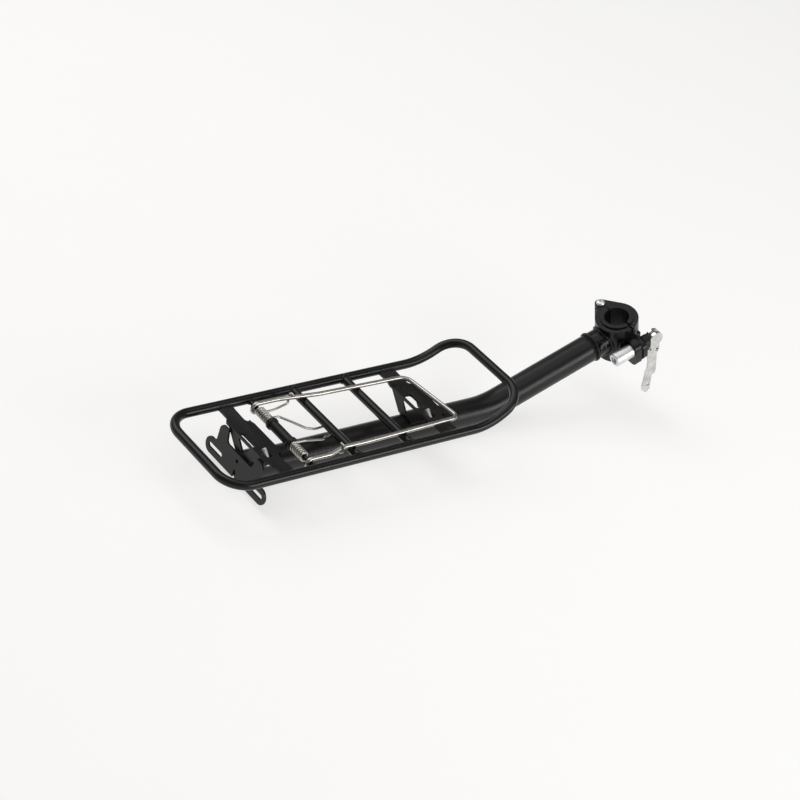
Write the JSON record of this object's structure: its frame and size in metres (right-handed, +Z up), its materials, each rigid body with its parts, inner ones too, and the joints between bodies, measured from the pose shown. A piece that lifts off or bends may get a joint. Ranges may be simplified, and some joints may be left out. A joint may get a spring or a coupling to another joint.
{
  "type": "seatpost rear rack",
  "caption": "Black rod platform on a bent tube beam, with a sprung wire clip and a hinged quick-release clamp for a seatpost.",
  "frame": {"origin": "middle of the seatpost bore, on its axis", "axes": "+X forward along the level platform towards the seatpost, +Y to the rider's left, +Z up"},
  "size_m": [0.5972, 0.1322, 0.11],
  "materials": {
    "black_rod": "satin black powder coat on steel rod",
    "black_sheet": "satin black powder coat on pressed sheet",
    "black_tube": "satin black powder coat on tube",
    "black_cast": "matt black coated casting",
    "black_plastic": "moulded black plastic",
    "stainless": "drawn stainless wire",
    "zinc": "bright zinc plating",
    "chrome": "polished"
  },
  "bodies": {
    "rack": {"platform_loop": "black_rod", "crossbar_rear": "black_rod", "crossbar_front": "black_rod", "rear_bracket": "black_sheet", "front_bracket": "black_sheet", "rear_saddle": "black_sheet", "front_saddle": "black_sheet", "rear_bracket_bolt": "zinc", "front_bracket_bolt": "zinc", "beam_tube": "black_tube", "beam_plug": "black_plastic", "reflector_plate": "black_sheet", "clip_axle": "black_rod", "clip_sleeve": "black_plastic", "clip_spring_left": "stainless", "clip_spring_right": "stainless", "clamp_body": "black_cast", "liner_fixed": "black_plastic", "hinge_bolt": "zinc", "skewer": "zinc", "cam_pin": "chrome", "socket_screw": "black_cast"},
    "clip": {"clip_wire": "stainless"},
    "jaw": {"clamp_jaw": "black_cast", "liner_jaw": "black_plastic", "cam_washer": "black_plastic"},
    "lever": {"cam_lever": "chrome"},
    "nut": {"adjusting_nut": "zinc"}
  },
  "joints": [
    {"name": "clip_hinge", "type": "hinge", "parent": "rack", "child": "clip", "pos_m": [-0.44813, 0, -0.03323], "axis": [0, -1, 0], "range_deg": [0, 80], "stiffness_Nm_per_rad": 1.8, "springref_deg": -45.84, "deforming": ["clip_spring_left", "clip_spring_right"]},
    {"name": "lever_pivot", "type": "hinge", "parent": "rack", "child": "lever", "pos_m": [0.02452, -0.0324, 0.00951], "axis": [0, -1, 0], "range_deg": [0, 150]},
    {"name": "jaw_hinge", "type": "hinge", "parent": "rack", "child": "jaw", "pos_m": [0.00093, 0.029, 0.00036], "axis": [-0.3616, 0, 0.9323], "range_deg": [0, 2.2]},
    {"name": "nut_spin", "type": "hinge", "parent": "rack", "child": "nut", "pos_m": [-0.01865, -0.0324, -0.00723], "axis": [0.9323, 0, 0.3616], "continuous": true}
  ],
  "couplings": [
    {"joint": "jaw_hinge", "follows": "lever_pivot", "ratio": 0.014}
  ]
}
